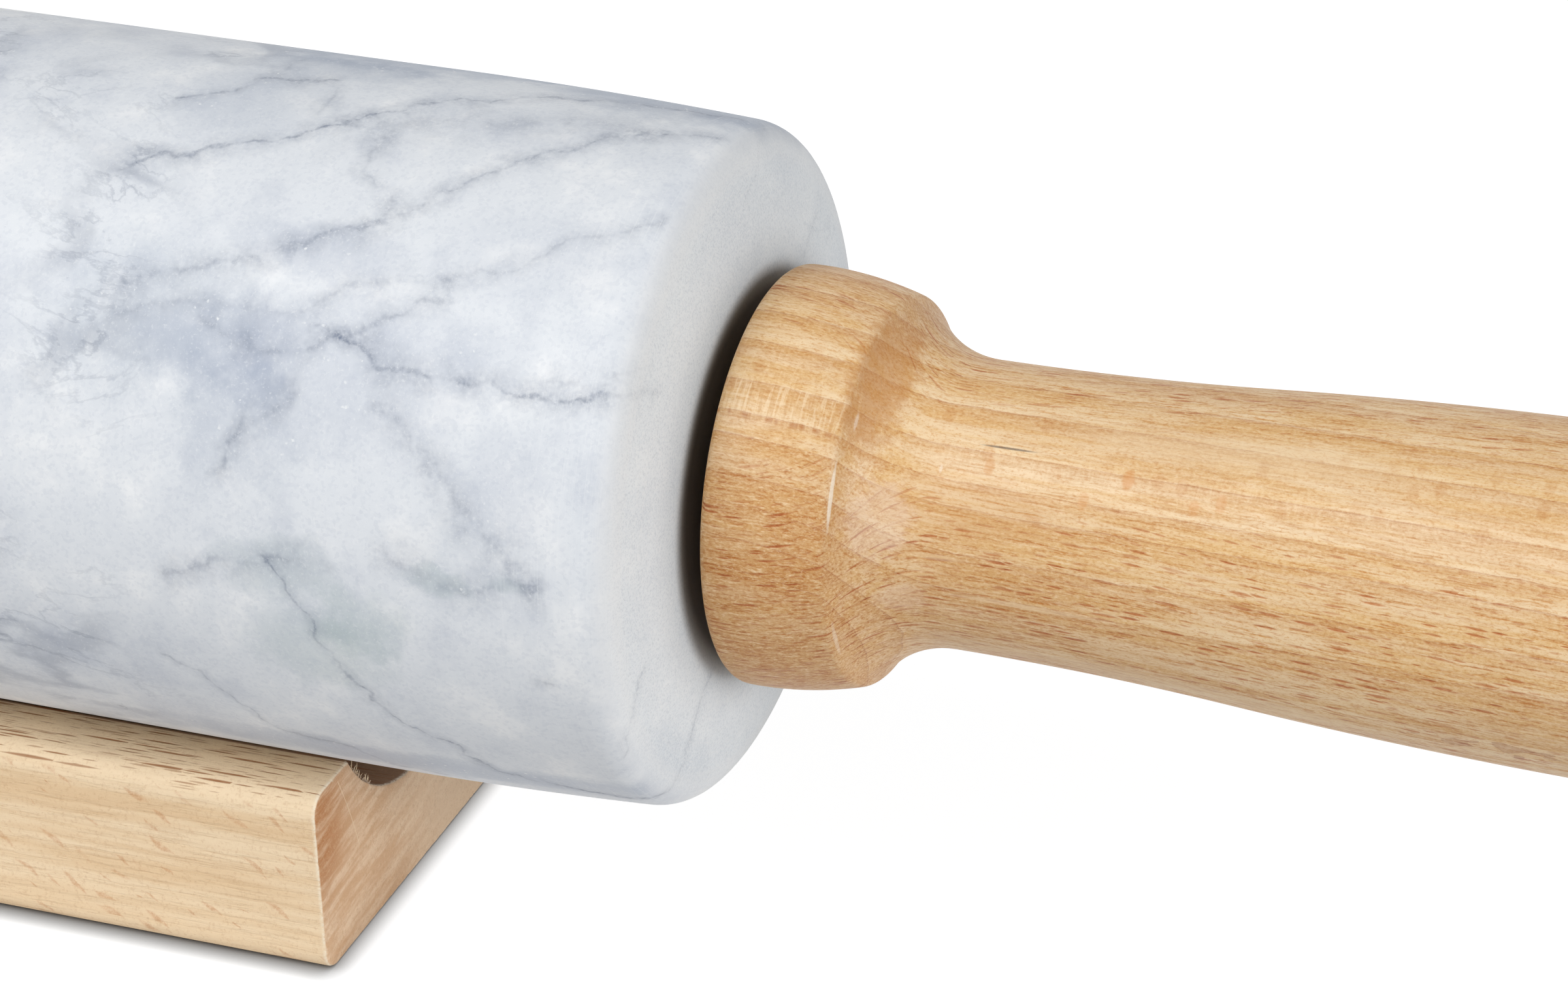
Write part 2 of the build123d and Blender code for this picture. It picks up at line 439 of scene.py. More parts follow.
class Stone(Material):
    """Marble seen from the roller: millimetres along from its right end, degrees around, and radius."""

    def __init__(self, name):
        super().__init__(name)
        self.here = self.place()
        self.x, y, z = self.parts(self.here)
        self.radius = self.math("SQRT", y**2 + z**2)
        self.around = self.degrees_from_front(y, z)
        inward = ROLLER_RADIUS / MM - self.radius
        self.along = ROLLER_END / MM - self.x - inward

        # The veins and clouds wander a little off their places
        drift = self.channels(self.noise(self.here, 0.34, 3.0, output="Color"))
        self.vein_along = self.along + (drift[0] * 3.0 - 1.5)
        self.vein_around = self.around + (drift[1] * 6.0 - 3.0)

        # 1 where no veins are placed: behind, and far from the right end
        towards_viewer = (y * VIEWER_SIDE[0] + z * VIEWER_SIDE[1]) / self.radius
        behind = self.ramp(towards_viewer, 0.05, -0.12)
        self.elsewhere = self.math("MAXIMUM", behind, self.ramp(self.along, *PLACED_VEINS_FADE))


def placed_vein(mat, ahead, aside, spots, span, widths):
    """How dark one vein is: a thin core in a soft halo about the curve through its spots."""
    distance = abs(aside - mat.curve(ahead, spots)) * span
    core_width, halo_width, core_depth, halo_depth = widths
    core = mat.ramp(distance, 0.0, core_width * CORE_SPREAD, core_depth * CORE_SHARE, 0.0)
    halo = mat.ramp(distance, 0.0, halo_width * HALO_SPREAD, halo_depth, 0.0)
    first = min(spots)[0]
    last = max(spots)[0]
    start = [(0.0, 0.0), (first, 0.0), (first + VEIN_FADE, 1.0)]
    end = [(last - VEIN_FADE, 1.0), (last, 0.0), (1.0, 0.0)]
    return (core + halo) * mat.curve(ahead, start + end)


def placed_veins(mat):
    """The photograph's veins, broken up by noise."""
    along_share = (mat.vein_along - VEIN_ALONG_START) / VEIN_ALONG_SPAN
    around_share = (mat.vein_around - VEIN_AROUND_START) / VEIN_AROUND_SPAN
    veins = []
    for table, ahead, aside, span, order in (
        (LONG_VEINS, along_share, around_share, VEIN_AROUND_SPAN * DEGREE_MM, 1),
        (ROUND_VEINS, around_share, along_share, VEIN_ALONG_SPAN, -1),
    ):
        for widths, points in table:
            spots = []
            for along, around in points:
                spot_along = (along - VEIN_ALONG_START) / VEIN_ALONG_SPAN
                spot_around = (around - VEIN_AROUND_START) / VEIN_AROUND_SPAN
                spots.append((spot_along, spot_around)[::order])
            veins.append(placed_vein(mat, ahead, aside, spots, span, widths))
    broken = mat.ramp(mat.noise(mat.here, 0.45, 3.0, 0.6), 0.34, 0.62, 0.35, 1.15)
    grit = mat.ramp(mat.noise(mat.here, 2.6, 3.0, 0.7), 0.34, 0.66, 0.78, 1.2)
    return sum(veins[1:], veins[0]) * broken * grit


def wild_veins(mat):
    """Veins made by noise, where none are placed."""
    slanted = mat.scaled(mat.here, (0.6, 1.0, 1.0))
    wide = abs(mat.noise(slanted, 0.045, 6.0, 0.55, 0.9) - 0.5)
    thin = abs(mat.noise(slanted, 0.09, 7.0, 0.6, 0.4) - 0.5)
    strength = mat.ramp(mat.noise(mat.here, 0.06, 2.0), 0.42, 0.66)
    wild = mat.ramp(wide, 0.0, 0.06, 0.34, 0.0) + mat.ramp(thin, 0.0, 0.016, 0.26, 0.0)
    return wild * strength * mat.elsewhere


def clouds_and_shade(mat):
    """How strong the blue and the green of the clouded patches and of the patches of painted shade are, torn
    up by noise.
    """
    tear = mat.noise(mat.here, 0.3, 5.0, 0.65)
    blue = mat.ramp(mat.noise(mat.here, 0.055, 4.0, 0.6), 0.5, 0.72, 0.0, 0.34) * mat.elsewhere
    green = 0.0
    for (along, around), (half_along, half_around), depth, green_share in CLOUDS_AND_SHADE:
        off_along = (mat.vein_along - along) / half_along
        off_around = (mat.vein_around - around) / (half_around / DEGREE_MM)
        away = off_along**2 + off_around**2
        patch = mat.ramp(tear * 1.6 + (away - 0.8), 0.0, 1.3, depth, 0.0)
        blue = patch * (1.0 - green_share) + blue
        green = patch * green_share + green
    return blue, green


def crystals(mat, blue_clouds_and_shade):
    """Clear white crystals, most of them in the blue clouds."""
    cells = mat.cells(mat.here, 1.9)
    ragged = mat.noise(mat.here, 4.0, 2.0, 0.7) * 0.9 + cells.distance
    chosen = mat.ramp(cells.picks[1], 0.7, 0.9) * mat.ramp(mat.noise(mat.here, 0.28, 3.0), 0.46, 0.58)
    return mat.ramp(ragged, 0.76, 0.5) * chosen * mat.math("ADD", blue_clouds_and_shade * 2.4, 0.1, clamp=True)


def marble():
    mat = Stone("polished_marble")
    blue_clouds_and_shade, green_clouds_and_shade = clouds_and_shade(mat)
    mottle = mat.noise(mat.here, 0.16, 5.0, 0.6)
    grain = mat.cells(mat.here, 3.6).picks[0]
    fine = mat.noise(mat.here, 3.4, 3.0, 0.7)
    mat.colour = mat.mix(mat.ramp(mottle, 0.5, 0.72), MARBLE_WHITE, MARBLE_MILK)
    mat.paint(mat.ramp(mottle, 0.5, 0.28, 0.0, 0.24), CLOUD_AND_SHADE_BLUE)
    mat.paint(blue_clouds_and_shade, CLOUD_AND_SHADE_BLUE)
    mat.paint(green_clouds_and_shade, CLOUD_AND_SHADE_GREEN)
    mat.paint(mat.math("ADD", placed_veins(mat), wild_veins(mat), clamp=True), VEIN_GREY)
    mat.paint(mat.ramp(grain, 0.5, 1.0, 0.0, 0.13), CLOUD_AND_SHADE_BLUE)
    mat.paint(mat.ramp(fine, 0.54, 0.7, 0.0, 0.3), MARBLE_MILK)
    mat.paint(crystals(mat, blue_clouds_and_shade), MARBLE_MILK)

    # The end faces are ground, not polished: duller and cooler, with a sandy grain and faint rings
    on_face = mat.ramp(mat.along, 1.0, -1.5)
    rings = mat.noise(mat.joined(mat.radius * 7.0, mat.around * 0.05, mat.x * 7.0), 1.0, 3.0, 0.6)
    near_rim = mat.ramp(abs(mat.along), 16.0, 2.0, 0.15, 1.0)
    sand = mat.noise(mat.here, 4.6, 4.0, 0.85)
    mat.paint(on_face * 0.56, FACE_TINT)
    mat.paint(mat.ramp(sand, 0.48, 0.62, 0.0, 0.4) * on_face, MARBLE_MILK)
    mat.paint(mat.ramp(sand, 0.52, 0.38, 0.0, 0.2) * on_face, VEIN_GREY)
    mat.paint(mat.ramp(rings, 0.52, 0.74, 0.0, 0.30) * near_rim, MARBLE_MILK)

    # Painted shade on the face under and beside the handle's collar, and a painted highlight: paler along the
    # rim
    painted_gap_shade = mat.ramp(mat.radius, 17.8, 15.0, 0.0, 0.78) + mat.ramp(mat.radius, 22.0, 17.0, 0.0, 0.14)
    mat.paint(painted_gap_shade * on_face, GAP_SHADE_GREY)
    # Painted highlight along the rim's rounding
    mat.paint(mat.ramp(abs(mat.along + 0.6), 3.0, 0.6, 0.0, 0.4), MARBLE_MILK)

    return mat.surface(
        Base_Color=mat.colour,
        Roughness=on_face * 0.18 + mat.ramp(fine, 0.3, 0.7, 0.42, 0.5),
        Normal=mat.bump(rings * near_rim * 0.5 + fine * 0.3, 0.25, MARBLE_RELIEF),
        Specular_IOR_Level=0.18,
    )


# Beech
BEECH_PALE = tone(238, 211, 171)
BEECH_MIDDLE = tone(226, 187, 130)
BEECH_DEEP = tone(200, 148, 88)
BEECH_RAY = tone(162, 84, 18)
FIBRE_STAIN = tone(216, 160, 36)
RAY_STAIN = tone(202, 126, 30)
RAW_PALE = tone(245, 221, 186)
RAW_MIDDLE = tone(234, 204, 164)
RAW_DEEP = tone(203, 163, 120)
RAW_RAY = tone(150, 92, 44)
SAWN_PALE = tone(240, 209, 176)
SAWN_DEEP = tone(220, 179, 140)
SAWN_CORNER = tone(180, 116, 62)
SAWN_PAINTED_LIGHT = tone(252, 224, 192)
GROOVE_SHADE_BROWN = tone(118, 60, 22)
FLECK_ORANGE = tone(192, 118, 56)
BROKEN_EDGE = tone(255, 243, 222)

# A loose fibre on the block's right end, as (towards the back, above the underside) in millimetres
HAIR_TOP = (-15.6, 17.2)
HAIR_FOOT = (-12.4, 8.6)
HAIR_HALF_WIDTH = 0.035
HAIR_BOW = 0.9

# How far the lenses on the block's front lean from the grain, in degrees
FLECK_SLANT = 35.0

# Growth ring lines, in millimetres from the pin's axis across the rings, and how far they lean outwards
HANDLE_RINGS = (-16.2, -13.4, -10.1, -6.6, -3.4, 0.6, 3.4, 5.3, 8.3, 10.4, 12.6, 14.4, 16.2)
HANDLE_RING_LEAN = 0.033
STAND_RINGS = (-9.8, -8.4, -7.3, -5.9, -4.2, -3.1, -1.6, -0.4, 1.3, 2.6, 4.3, 5.4, 6.9, 8.3)
STAND_LEVEL = (stand_high.z / 2 - AXIS_HEIGHT) / MM
STAND_END = stand_high.x / MM
LEAN_START = 12.0

# The span that the ring lines are placed in, the share of a ring that its dark line takes, and the least
# width of a ray's cut end, as a share of its width on a face along a ring
RING_SPAN = 40.0
RING_EDGE = 0.07
LEAST_FACING = 0.3

# Finish
LACQUER_WEIGHT = 0.12
WOOD_ROUGHNESS_RANGE = 0.12
HANDLE_RELIEF = 0.07 * MM
BLOCK_RELIEF = 0.1 * MM

# Marks on the right handle, some of them painted shade, sheen and glint: middle and half size as (millimetres
# from the collar face, degrees round from the front), depth, raggedness and tone
UPPER_COVE_SHADE = tone(184, 118, 48)
COVE_SHEEN = tone(242, 218, 198)
RIDGE_GLINT = tone(252, 240, 220)
FLECK_BROWN = tone(208, 138, 60)
CRACK_GREY = tone(70, 62, 58)
CHIP_WHITE = tone(250, 240, 226)
HANDLE_MARKS = (
    # Painted shade on the upper side of the cove
    ((11.9, 70), (2.3, 34), 0.5, 2.6, UPPER_COVE_SHADE),
    ((21.0, 28), (9.0, 14), 0.24, 1.6, BEECH_DEEP),
    ((43.0, 64), (15.0, 9), 0.34, 1.4, BEECH_PALE),
    ((36.0, -40), (24.0, 7), 0.4, 1.2, BEECH_PALE),
    # Painted sheen in the cove
    ((14.0, 19), (2.9, 16), 0.3, 2.6, COVE_SHEEN),
    ((15.5, -12), (2.4, 7), 0.22, 1.6, COVE_SHEEN),
    # Painted glint along the ridge
    ((10.6, 26), (0.13, 11), 0.75, 0.9, RIDGE_GLINT),
    ((10.7, -22), (0.12, 8), 0.3, 1.0, RIDGE_GLINT),
    ((18.4, 7.5), (3.2, 1.5), 0.35, 0.6, BEECH_PALE),
    ((26.0, -8), (8.0, 1.3), 0.5, 0.6, BEECH_PALE),
    ((22.1, 45.6), (0.5, 4.0), 0.4, 0.9, FLECK_BROWN),
    ((33.9, 48), (0.6, 4.6), 0.6, 0.9, FLECK_BROWN),
    ((30.5, 37.8), (0.5, 4.2), 0.4, 0.9, FLECK_BROWN),
    ((42.0, 44), (0.5, 4.2), 0.4, 0.9, FLECK_BROWN),
    ((39.8, 41), (0.5, 3.6), 0.4, 0.9, FLECK_BROWN),
    ((23.3, 54), (2.6, 0.55), 0.7, 0.4, CRACK_GREY),
    ((11.2, 50), (0.12, 3.4), 0.34, 1.2, CHIP_WHITE),
    ((18.1, 42), (0.16, 1.8), 0.34, 1.2, CHIP_WHITE),
)


# What sets one piece of beech apart: how it was cut from the tree, its tones and its finish
WoodLook = namedtuple("WoodLook", "ray_angle level ring_lines lean shift pale middle deep ray roughness")


class Wood(Material):
    """Beech seen in its own directions: x along the grain, across the rings, and beside along a ring."""

    def __init__(self, name, look):
        super().__init__(name)
        self.look = look
        here = self.place()
        self.own_x, self.y, self.z = self.parts(here)

        # Each piece takes its noise from another part of the tree, at its own shift along the grain
        self.moved = self.vector_math("ADD", here, (look.shift, 0, 0))
        self.x = self.parts(self.moved)[0]
        cosine = math.cos(math.radians(look.ray_angle))
        sine = math.sin(math.radians(look.ray_angle))
        bend = self.noise(self.scaled(self.moved, (0.02, 0.05, 0.05)), 1.0, 2.0)
        wobble = self.noise(self.scaled(self.moved, (0.2, 0.35, 0.35)), 1.0, 2.0)
        across = self.y * -cosine + self.z * sine - look.level
        across = across + (bend - 0.5) + (wobble * 0.4 - 0.2)
        self.out = abs(self.own_x) - HANDLE_FACE / MM
        self.across = across - (self.out - LEAN_START) * look.lean
        self.beside = self.y * sine + self.z * cosine + (bend * 1.6 - 0.8)

        # How squarely the surface is cut across the rays: 1 on a face along a ring, 0 on a face along a ray
        cut = {"Vector": self.read(self.node("ShaderNodeNewGeometry"), "Normal")}
        kinds = {"vector_type": "NORMAL", "convert_from": "WORLD", "convert_to": "OBJECT"}
        turn = self.node("ShaderNodeVectorTransform", cut, **kinds)
        normal_x, normal_y, normal_z = self.parts(self.read(turn, 0))
        self.end_cut = abs(normal_x)
        self.facing = abs(normal_y * -cosine + normal_z * sine)

    def rings(self):
        """Each ring starts dark at a thin line and grows paler towards the next one."""
        lines = self.look.ring_lines
        share = (self.across + RING_SPAN / 2) / RING_SPAN
        points = [(0.0, 0.0)]
        for index, line in enumerate(lines):
            points.append(((line + RING_SPAN / 2) / RING_SPAN, (index + 1) / len(lines)))
        count = self.curve(share, points, smooth=False) * len(lines)
        part = self.math("FRACT", count)
        edge = self.ramp(part, RING_EDGE, 0.0)
        fade = self.ramp(part, 0.0, 0.5, 0.5, 0.0) + self.ramp(part, 0.3, 1.0, 0.24, 0.0)
        return edge, fade * self.ramp(part, 0.0, RING_EDGE)

    def lenses(self, length, width, smallest, largest, kept):
        """Cut ends of rays on a surface along the grain, as thin where it is cut aslant as where it isn't."""
        spot = self.joined(self.x / length, self.beside / width, 0.0)
        narrowing = self.math("MAXIMUM", self.facing, LEAST_FACING)
        return self.pointed_lens(spot, smallest, largest, kept, narrowing)

    def pointed_lens(self, spot, smallest, largest, kept, narrowing=1.0):
        """A lens with two points in some of the cells of a plane, each of its own size."""
        cells = self.cells(spot, randomness=0.95, dimensions="2D")
        size = cells.picks[0] * (largest - smallest) + smallest
        ahead, aside, _ = self.parts(self.vector_math("SUBTRACT", spot, cells.middle))
        ahead = (ahead / size) ** 2
        aside = abs(aside) / narrowing / size
        lens = self.ramp(aside * 1.25 + ahead, 1.3, 0.4)
        return lens * self.ramp(cells.picks[1], 1.0 - kept, 1.2 - kept)

    def grain(self, along, aside, detail=3.0, roughness=0.6):
        """Noise drawn out along the grain, in turns for each millimetre along it and aside."""
        return self.noise(self.own_place(along, aside, aside), 1.0, detail, roughness)

    def own_place(self, along, across, beside):
        """The place in the wood's own directions, each multiplied by a factor."""
        return self.joined(self.x * along, self.across * across, self.beside * beside)

    def between(self, value, start, end, soft):
        """1 from start to end, with soft limits."""
        return self.ramp(value, start - soft, start + soft) * self.ramp(value, end + soft, end - soft)

    def finished(self, hairs, dashes, relief, strength, depth, **more):
        """The painted wood, with its pores pressed into the relief."""
        pores = dashes * 0.6 + self.ramp(hairs, 0.45, 0.75, 0.0, 0.8)
        smoothest = self.look.roughness
        return self.surface(
            Base_Color=self.colour,
            Roughness=self.ramp(hairs, 0.3, 0.7, smoothest, smoothest + WOOD_ROUGHNESS_RANGE),
            Normal=self.bump(relief - pores, strength, depth),
            **more,
        )


def lacquered_beech(name, look, marks=()):
    mat = Wood(name, look)
    flat_cut = mat.ramp(mat.facing, 0.12, 0.55)
    ray_cut = mat.ramp(mat.facing, 0.34, 0.12)
    ring_edge, ring_fade = mat.rings()
    streaks = mat.grain(0.05, 0.9, 4.0)
    hairs = mat.grain(0.2, 4.2, 4.0, 0.75)
    fine = mat.grain(2.6, 5.6, 3.0, 0.7)
    patch = mat.grain(0.07, 0.28)

    # Broad tones: paler where the rays lie in the surface, deeper towards the bark, and painted shade on one
    # side of the collar
    mat.colour = mat.mix(mat.ramp(streaks, 0.36, 0.64), look.pale, look.middle)
    deeper = mat.ramp(mat.across, 4.2, 12.0, 0.0, 0.26) + mat.ramp(mat.across, -4.0, -13.0, 0.0, 0.3)
    # Painted shade: the collar deeper on one side, its lower front on the right handle
    collar_lower_shade = mat.ramp(mat.out, 13.0, 9.0) * mat.ramp(mat.across, 4.0, 9.0, 0.0, 0.42)
    deeper = deeper * mat.ramp(mat.out, 24.0, 48.0, 1.0, 0.15)
    deeper = deeper + collar_lower_shade + mat.ramp(patch, 0.42, 0.7, 0.0, 0.3)
    mat.paint(deeper, look.deep)
    mat.paint(ring_fade * mat.ramp(mat.out, 14.0, 10.0, 0.6, 0.9), look.deep)
    mat.paint(ring_edge * 0.42, look.ray)

    # Fibres: fine dark and pale lines along the grain
    fibre_depth = flat_cut * 0.44 + 0.34
    mat.paint(mat.ramp(hairs, 0.5, 0.68) * fibre_depth, FIBRE_STAIN, "MULTIPLY")
    mat.paint(mat.ramp(hairs, 0.46, 0.3) * fibre_depth, look.pale)
    mat.paint(mat.ramp(fine, 0.51, 0.66, 0.0, 0.42), FIBRE_STAIN, "MULTIPLY")
    mat.paint(mat.ramp(fine, 0.49, 0.34, 0.0, 0.42), look.pale)

    # Rays cut across: lens dashes in three sizes, in clusters
    cluster = mat.ramp(mat.grain(0.1, 0.5, 2.0), 0.36, 0.56, 0.25, 1.0)
    dashes = mat.lenses(2.9, 0.44, 0.16, 0.46, 0.62) * cluster
    ticks = mat.lenses(1.6, 0.32, 0.12, 0.44, 0.55)
    specks = mat.lenses(0.8, 0.36, 0.10, 0.40, 0.45)
    mat.paint(dashes * flat_cut * 0.78, RAY_STAIN, "MULTIPLY")
    mat.paint(ticks * flat_cut * 0.42, RAY_STAIN, "MULTIPLY")
    speck_zone = mat.between(mat.across, 3.6, 9.0, 0.6) * mat.ramp(mat.out, 11.5, 10.0, 0.08, 0.4)
    mat.paint(specks * speck_zone, look.ray)

    # Rays cut along: fine cross streaks, and broad soft flecks below some of the ring lines
    band = mat.between(mat.across, 0.6, 3.4, 0.25) * 0.7 + 0.3
    band = band * mat.ramp(mat.out, 12.0, 10.0, 0.35, 1.0)
    cross = mat.noise(mat.own_place(3.6, 0.3, 0.5), 1.0, 3.0, 0.6)
    cross_depth = ray_cut * band
    mat.paint(mat.ramp(cross, 0.5, 0.64, 0.0, 0.4) * cross_depth, look.deep)
    mat.paint(mat.ramp(cross, 0.48, 0.36, 0.0, 0.6) * cross_depth, look.pale)
    fleck_spot = mat.joined(mat.x / 2.1, mat.across / 3.2, 0.0)
    fleck = mat.cells(fleck_spot, randomness=0.8, dimensions="2D")
    flecks = mat.ramp(cross * 0.3 + fleck.distance, 0.46, 0.32)
    flecks = flecks * mat.ramp(fleck.picks[0], 0.6, 0.95) * ray_cut
    mat.paint(flecks * 0.26, FIBRE_STAIN, "MULTIPLY")
    dot = mat.cells(mat.x, dimensions="1D")
    dots = mat.ramp(dot.distance - dot.picks[0] * 0.45, 0.14, -0.14)
    dots = dots * mat.between(mat.across, 3.45, 3.8, 0.18) * ray_cut
    dots = dots * mat.ramp(mat.out, 12.0, 10.0, 0.2, 1.0)
    mat.paint(dots * 0.62, look.ray)

    for middle, half, depth, ragged, tint in marks:
        mat.paint(mark_share(mat, middle, half, depth, ragged), tint)

    gloss = {"Specular_IOR_Level": 0.34, "Coat_Weight": LACQUER_WEIGHT, "Coat_Roughness": 0.24}
    return mat.finished(hairs, dashes, fine * 0.5, 0.4, HANDLE_RELIEF, **gloss)


def mark_share(mat, middle, half, depth, ragged):
    """A soft ragged patch on a turned handle, its middle and half size as in the table of marks."""
    off_along = (mat.out - middle[0]) / half[0]
    off_around = (mat.degrees_from_front(mat.y, mat.z) - middle[1]) / half[1]
    away = off_along**2 + off_around**2
    torn = mat.noise(mat.moved, 0.9, 4.0, 0.7) * ragged + (away - ragged / 2)
    return mat.ramp(torn, 1.2, 0.2, 0.0, depth)


def groove_cut(mat, side_cut):
    """1 on the groove's own surface and 0 on the rest of the block."""
    centre = (GROOVE_CENTRE_HEIGHT - AXIS_HEIGHT) / MM
    reach = mat.math("SQRT", mat.y**2 + (mat.z - centre) ** 2)
    off = abs(reach - GROOVE_RADIUS / MM)
    return mat.ramp(off, 0.3, 0.1) * side_cut


def loose_hair(mat):
    """1 along the loose fibre on the block's right end."""
    up = mat.z + AXIS_HEIGHT / MM
    share = (HAIR_TOP[1] - up) / (HAIR_TOP[1] - HAIR_FOOT[1])
    bow = share * (1.0 - share) * HAIR_BOW
    line = share * (HAIR_FOOT[0] - HAIR_TOP[0]) + HAIR_TOP[0] + bow
    near = mat.ramp(abs(mat.y - line), HAIR_HALF_WIDTH * 2, HAIR_HALF_WIDTH)
    within = mat.ramp(share, 0.0, 0.05) * mat.ramp(share, 1.0, 0.95)
    return near * within * mat.ramp(mat.own_x, 0.0, 1.0)


def planed_beech(name, look):
    mat = Wood(name, look)
    end_cut = mat.ramp(mat.end_cut, 0.5, 0.8)
    side_cut = 1.0 - end_cut
    top_cut = mat.ramp(mat.facing, 0.35, 0.75) * side_cut
    front_cut = mat.ramp(mat.facing, 0.6, 0.25) * side_cut
    _, ring_fade = mat.rings()
    streaks = mat.grain(0.03, 0.5, 4.0)
    hairs = mat.grain(0.14, 2.6, 4.0, 0.7)
    fine = mat.noise(mat.moved, 3.0, 4.0, 0.75)

    # Planed faces: pale, with quiet grain
    mat.colour = mat.mix(mat.ramp(streaks, 0.36, 0.64), look.pale, look.middle)
    mat.paint(ring_fade * 0.18, look.deep)
    mat.paint(mat.ramp(hairs, 0.5, 0.7, 0.0, 0.3), look.deep)
    # Painted light: the top paler, against the shade of the roller above it
    mat.paint(top_cut * 0.85, look.pale)
    # Painted shade in the groove under the roller
    mat.paint(groove_cut(mat, side_cut) * 0.75, GROOVE_SHADE_BROWN)
    mat.paint(mat.ramp(mat.z, -36.0, -43.0, 0.0, 0.5) * front_cut, look.pale)

    # Sawn ends: duller and pinker, streaked along the rings, with darker corners
    end_streaks = mat.noise(mat.own_place(0.2, 1.1, 0.16), 1.0, 4.0, 0.6)
    sawn = mat.mix(mat.ramp(end_streaks, 0.36, 0.62), SAWN_PALE, SAWN_DEEP)
    sawn = mat.mix(ring_fade * 0.5, sawn, SAWN_DEEP)
    corner = mat.ramp(mat.y, -11.0, -19.5) * mat.ramp(mat.across, -3.0, 6.0)
    sawn = mat.mix(corner * mat.ramp(end_streaks, 0.3, 0.6, 0.35, 0.9), sawn, SAWN_CORNER)
    sawn = mat.mix(mat.ramp(fine, 0.5, 0.68, 0.0, 0.5), sawn, SAWN_DEEP)
    sawn = mat.mix(mat.ramp(fine, 0.46, 0.3, 0.0, 0.25), sawn, look.pale)
    # Painted light: the end paler towards the back, where the roller's shade falls
    sawn = mat.mix(mat.ramp(mat.y, -9.0, 6.0, 0.0, 0.8), sawn, SAWN_PAINTED_LIGHT)
    mat.paint(end_cut, sawn)
    mat.paint(mat.ramp(fine, 0.5, 0.68, 0.0, 0.34), look.deep)

    # Rays: long dark dashes on the top and bottom, slanted soft lenses on the front and back
    dashes = mat.lenses(6.5, 0.44, 0.14, 0.48, 0.6) * top_cut
    ticks = mat.lenses(3.2, 0.34, 0.12, 0.44, 0.5) * top_cut
    slant = math.radians(FLECK_SLANT)
    ahead = mat.x * math.cos(slant) - mat.across * math.sin(slant)
    aside = mat.x * math.sin(slant) + mat.across * math.cos(slant)
    aside = mat.noise(mat.moved, 0.22, 2.0) * 2.6 + aside
    spot = mat.joined(ahead / 4.0, aside / 1.1, 0.0)
    lenses = mat.pointed_lens(spot, 0.08, 0.42, 0.5) * front_cut
    lenses = lenses * mat.ramp(fine, 0.36, 0.56, 0.35, 1.0)
    mat.paint(dashes * 0.85, look.ray)
    mat.paint(ticks * 0.5, look.ray)
    mat.paint(lenses * 0.36, FLECK_ORANGE)
    mat.paint(loose_hair(mat) * end_cut * 0.6, look.pale)

    # Broken edges at the ends are pale and rough
    rim = mat.ramp(STAND_END - abs(mat.own_x), 0.5, 0.1)
    rim = rim * side_cut * mat.ramp(fine, 0.4, 0.55, 0.2, 1.0)
    mat.paint(rim * 0.8, BROKEN_EDGE)

    relief = fine * (end_cut * 1.5 + 0.5)
    return mat.finished(hairs, dashes, relief, 0.5, BLOCK_RELIEF, Specular_IOR_Level=0.35)


# Metal and nylon of the inner pieces: how dark the low places of the grain are, and how much it varies
DARKER_SHARE = 0.72
PLAIN_ROUGHNESS_RANGE = 0.14
PLAIN_RELIEF = 0.03 * MM


def plain_part(name, colour, roughness, metallic, grain_scale):
    """Metal or nylon with fine grain, which is drawn out or pressed along the axis by grain_scale."""
    mat = Material(name)
    marks = mat.noise(mat.scaled(mat.place(), (grain_scale, 1.0, 1.0)), 2.0, 3.0, 0.6)
    darker = (*(part * DARKER_SHARE for part in colour[:3]), 1.0)
    return mat.surface(
        Base_Color=mat.mix(mat.ramp(marks, 0.3, 0.7), darker, colour),
        Roughness=mat.ramp(marks, 0.3, 0.7, roughness, roughness + PLAIN_ROUGHNESS_RANGE),
        Metallic=metallic,
        Normal=mat.bump(marks, 0.2, PLAIN_RELIEF),
    )


# Outlines are lists of (place along the axis, radius)
def tangent_arc(start, heading, end, steps=ARC_STEPS):
    """Points on the arc that leaves start in the direction heading and ends at end."""
    first, last = Vector(start), Vector(end)
    ahead = Vector(heading).normalized()
    side = Vector((-ahead.y, ahead.x))
    chord = last - first
    reach = chord.length_squared / (2 * chord.dot(side))
    middle = first + side * reach
    swept = 2 * math.atan2(chord.dot(side), chord.dot(ahead))
    points = []
    for step in range(steps + 1):
        turned = Matrix.Rotation(swept * step / steps, 2) @ (first - middle)
        points.append(tuple(middle + turned))
    return points


def bulged_arc(start, end, bulge, steps=ARC_STEPS):
    """Points on a shallow arc whose middle stands out by bulge from the straight line."""
    points = []
    for step in range(steps + 1):
        share = step / steps
        along = start[0] + (end[0] - start[0]) * share
        radius = start[1] + (end[1] - start[1]) * share
        points.append((along, radius + 4 * bulge * share * (1 - share)))
    return points


def softened(before, after, reach, steps=CORNER_STEPS):
    """Two runs of points that meet in a corner, joined by a curve that starts and ends at reach from it."""
    corner = Vector(before[-1])
    head = [p for p in before if (Vector(p) - corner).length > reach]
    tail = [p for p in after if (Vector(p) - corner).length > reach]
    start = corner + (Vector(head[-1]) - corner).normalized() * reach
    end = corner + (Vector(tail[0]) - corner).normalized() * reach
    curve = []
    for step in range(steps + 1):
        share = step / steps
        rest = 1 - share
        curve.append(tuple(start * rest**2 + corner * 2 * share * rest + end * share**2))
    return head + curve + tail


